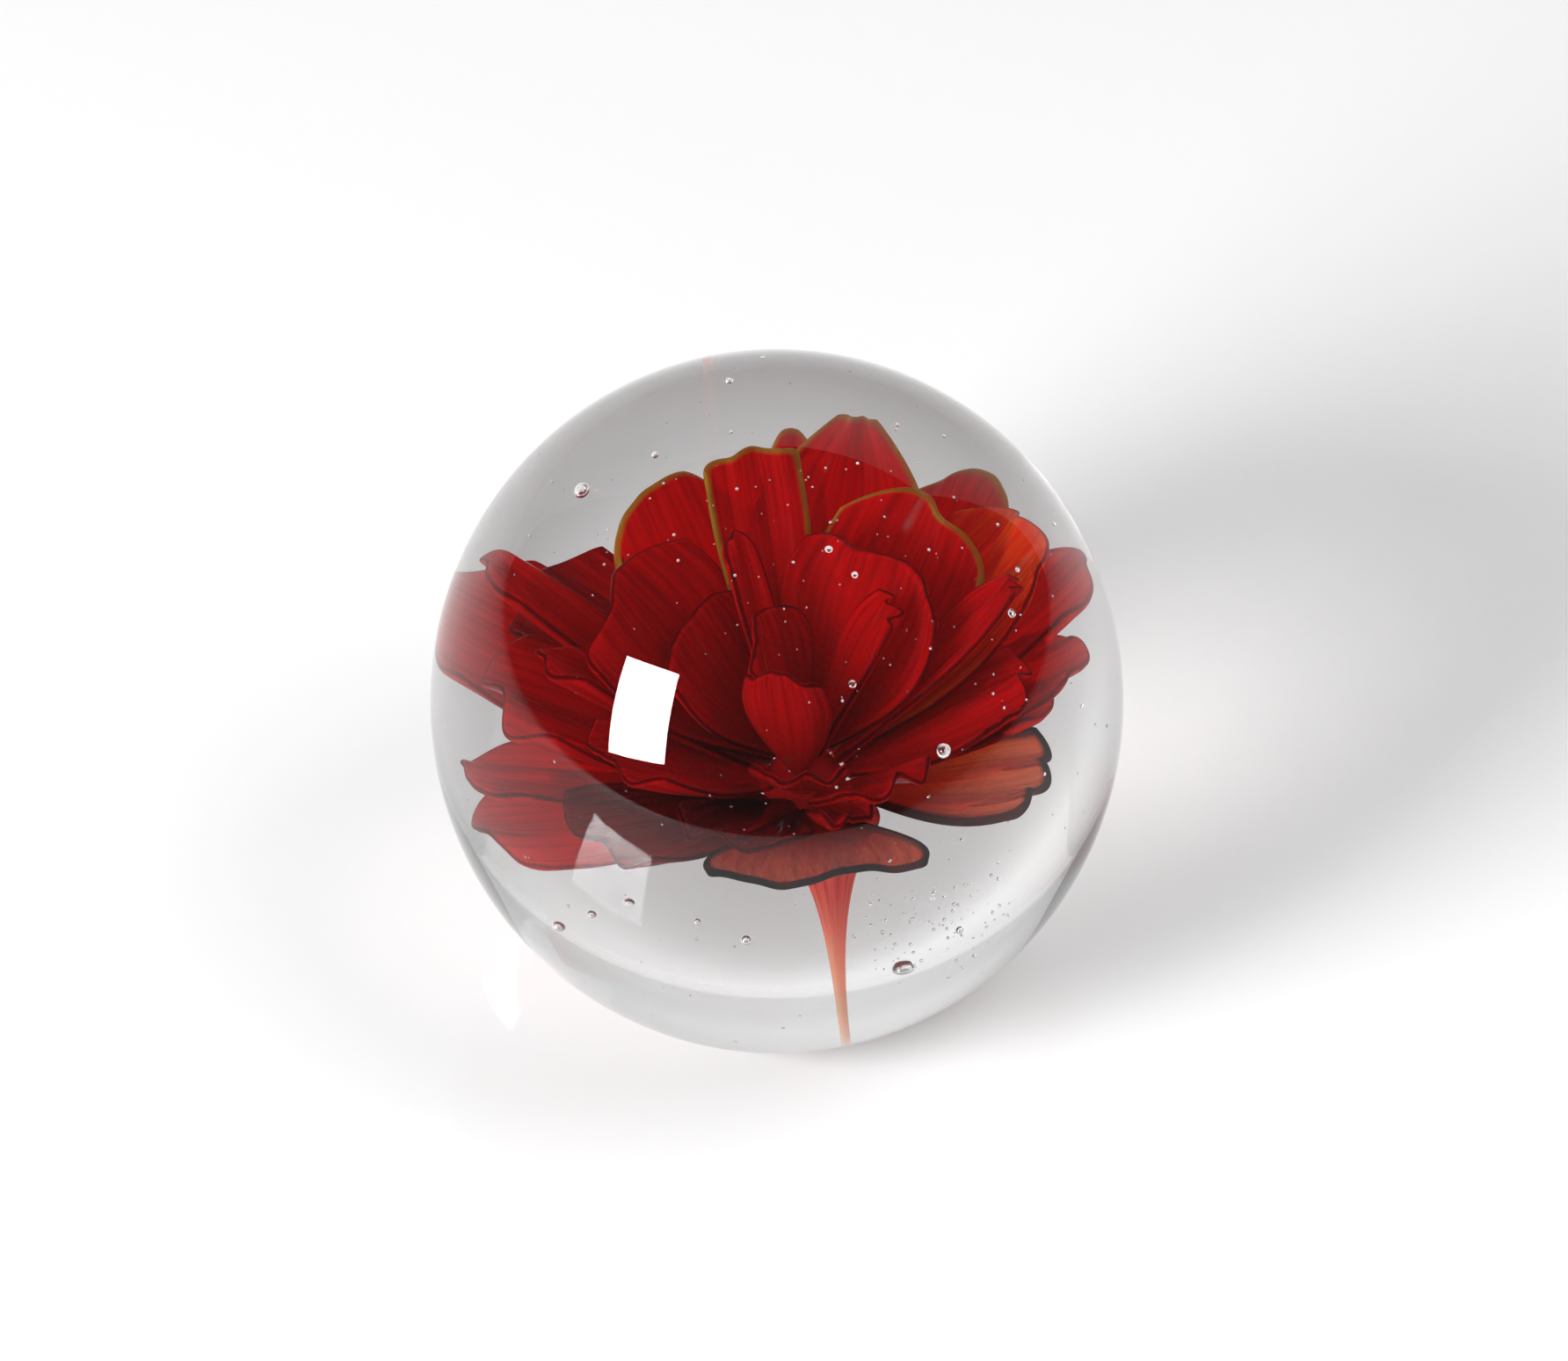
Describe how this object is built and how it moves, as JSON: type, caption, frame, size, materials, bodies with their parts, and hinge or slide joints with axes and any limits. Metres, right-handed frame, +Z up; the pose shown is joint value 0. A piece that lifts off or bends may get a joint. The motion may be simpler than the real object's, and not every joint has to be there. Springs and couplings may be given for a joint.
{
  "type": "paperweight",
  "caption": "Solid clear glass ball paperweight, ground flat underneath, with a red lampwork glass flower, its stem and air bubbles sealed inside",
  "frame": {"origin": "middle of the ground flat on the underside of the ball, where it rests on the desk", "axes": "+Z up through the middle of the ball; +Y towards the back of the flower, -Y towards the viewer; +X to the right"},
  "size_m": [0.08, 0.08, 0.0773],
  "materials": {
    "clear_glass": "polished colourless crystal glass, a faint grey-green in depth",
    "red_glass": "transparent ruby-red lampwork glass with fine lengthwise streaks, orange in one petal, darker at the rims",
    "dark_red_glass": "deep red lampwork glass, nearly opaque",
    "brown_glass": "transparent brownish-red lampwork glass with a wide black rim",
    "streaked_glass": "pale red glass drawn out to a thin tip, with lengthwise streaks"
  },
  "bodies": {
    "root": {"glass_ball": "clear_glass", "bud": "dark_red_glass", "stem": "streaked_glass", "petal_low_front": "brown_glass", "petal_low_front_left": "dark_red_glass", "petal_low_under": "red_glass", "petal_low_left": "red_glass", "petal_low_right": "brown_glass", "petal_left_far": "red_glass", "petal_left_big": "red_glass", "petal_left_fold": "red_glass", "petal_left_back": "dark_red_glass", "petal_back_left": "red_glass", "petal_back_box": "red_glass", "petal_back_tip": "red_glass", "petal_back_point": "red_glass", "petal_back_right": "red_glass", "petal_back_right_under": "red_glass", "petal_right_back": "red_glass", "petal_right_up": "red_glass", "petal_right_mid": "red_glass", "petal_right_under": "red_glass", "petal_right_low": "red_glass", "petal_front_left": "red_glass", "petal_front_mid": "dark_red_glass", "petal_front_right": "red_glass", "petal_mid_left": "red_glass", "petal_mid_fold": "red_glass", "petal_mid_back": "red_glass", "petal_mid_right": "red_glass", "petal_mid_front_left": "red_glass", "petal_in_left": "red_glass", "petal_in_curl": "red_glass", "petal_in_front": "red_glass", "petal_in_right": "red_glass", "petal_front_small": "red_glass", "petal_front_curl": "red_glass"}
  },
  "joints": []
}
